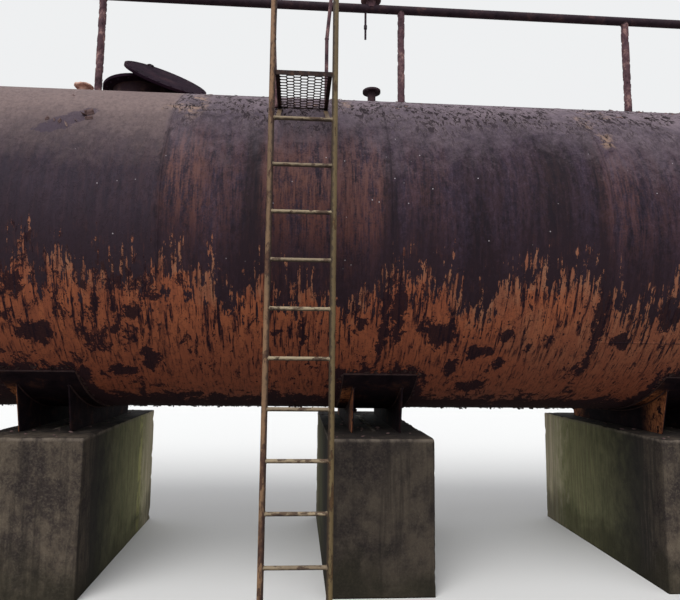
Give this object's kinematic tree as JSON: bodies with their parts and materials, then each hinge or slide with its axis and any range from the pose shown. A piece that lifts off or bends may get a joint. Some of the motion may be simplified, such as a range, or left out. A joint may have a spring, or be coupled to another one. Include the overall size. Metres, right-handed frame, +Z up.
{
  "type": "horizontal pressure tank",
  "caption": "Long horizontal steel pressure tank with dished heads on concrete piers, with crown manway, loose lid, ladder, small mesh platform and overhead pipe.",
  "frame": {"origin": "middle of the middle pier's foot, on the ground straight under the tank's axis", "axes": "+X along the tank to the right as seen from the ladder side, +Y away from the ladder, +Z up"},
  "size_m": [13.4082, 2.7768, 4.971],
  "materials": {
    "shell_paint": "old orange-brown paint, weathered and rusting, soot-dark towards the crown",
    "saddle_steel": "dark rusty plate",
    "pier_concrete": "weathered concrete with algae",
    "rusty_steel": "dark purple-brown rust",
    "pipe_steel": "flaking dark rust",
    "ladder_paint": "worn ochre paint over rust",
    "rung_steel": "paint worn through to grey-brown steel",
    "mesh_steel": "dark rusty expanded mesh",
    "old_flange": "tan-pink rust crust"
  },
  "bodies": {
    "root": {"shell_course_1": "shell_paint", "shell_course_2": "shell_paint", "shell_course_3": "shell_paint", "shell_course_4": "shell_paint", "shell_course_5": "shell_paint", "shell_course_6": "shell_paint", "shell_course_7": "shell_paint", "shell_course_8": "shell_paint", "head_left": "shell_paint", "head_right": "shell_paint", "wear_plate_1": "saddle_steel", "wear_plate_2": "saddle_steel", "wear_plate_3": "saddle_steel", "wear_plate_4": "saddle_steel", "wear_plate_5": "saddle_steel", "saddle_webs_1": "saddle_steel", "saddle_webs_2": "saddle_steel", "saddle_webs_3": "saddle_steel", "saddle_webs_4": "saddle_steel", "saddle_webs_5": "saddle_steel", "pier_1": "pier_concrete", "pier_2": "pier_concrete", "pier_3": "pier_concrete", "pier_4": "pier_concrete", "pier_5": "pier_concrete", "manway_neck": "rusty_steel", "manway_flange": "rusty_steel", "manway_lid": "rusty_steel", "nozzle": "rusty_steel", "old_nozzle": "old_flange", "overhead_pipe": "pipe_steel", "pipe_end_caps": "pipe_steel", "pipe_branch": "pipe_steel", "pipe_drain": "pipe_steel", "pipe_post_1": "pipe_steel", "pipe_post_2": "pipe_steel", "pipe_post_3": "pipe_steel", "pipe_post_4": "pipe_steel", "pipe_post_5": "pipe_steel", "ladder_rail_left": "ladder_paint", "ladder_rail_right": "ladder_paint", "ladder_rungs": "rung_steel", "platform_frame": "mesh_steel", "platform_mesh": "mesh_steel", "platform_braces": "ladder_paint", "hand_post_left": "pipe_steel", "hand_post_right": "pipe_steel"}
  },
  "joints": []
}
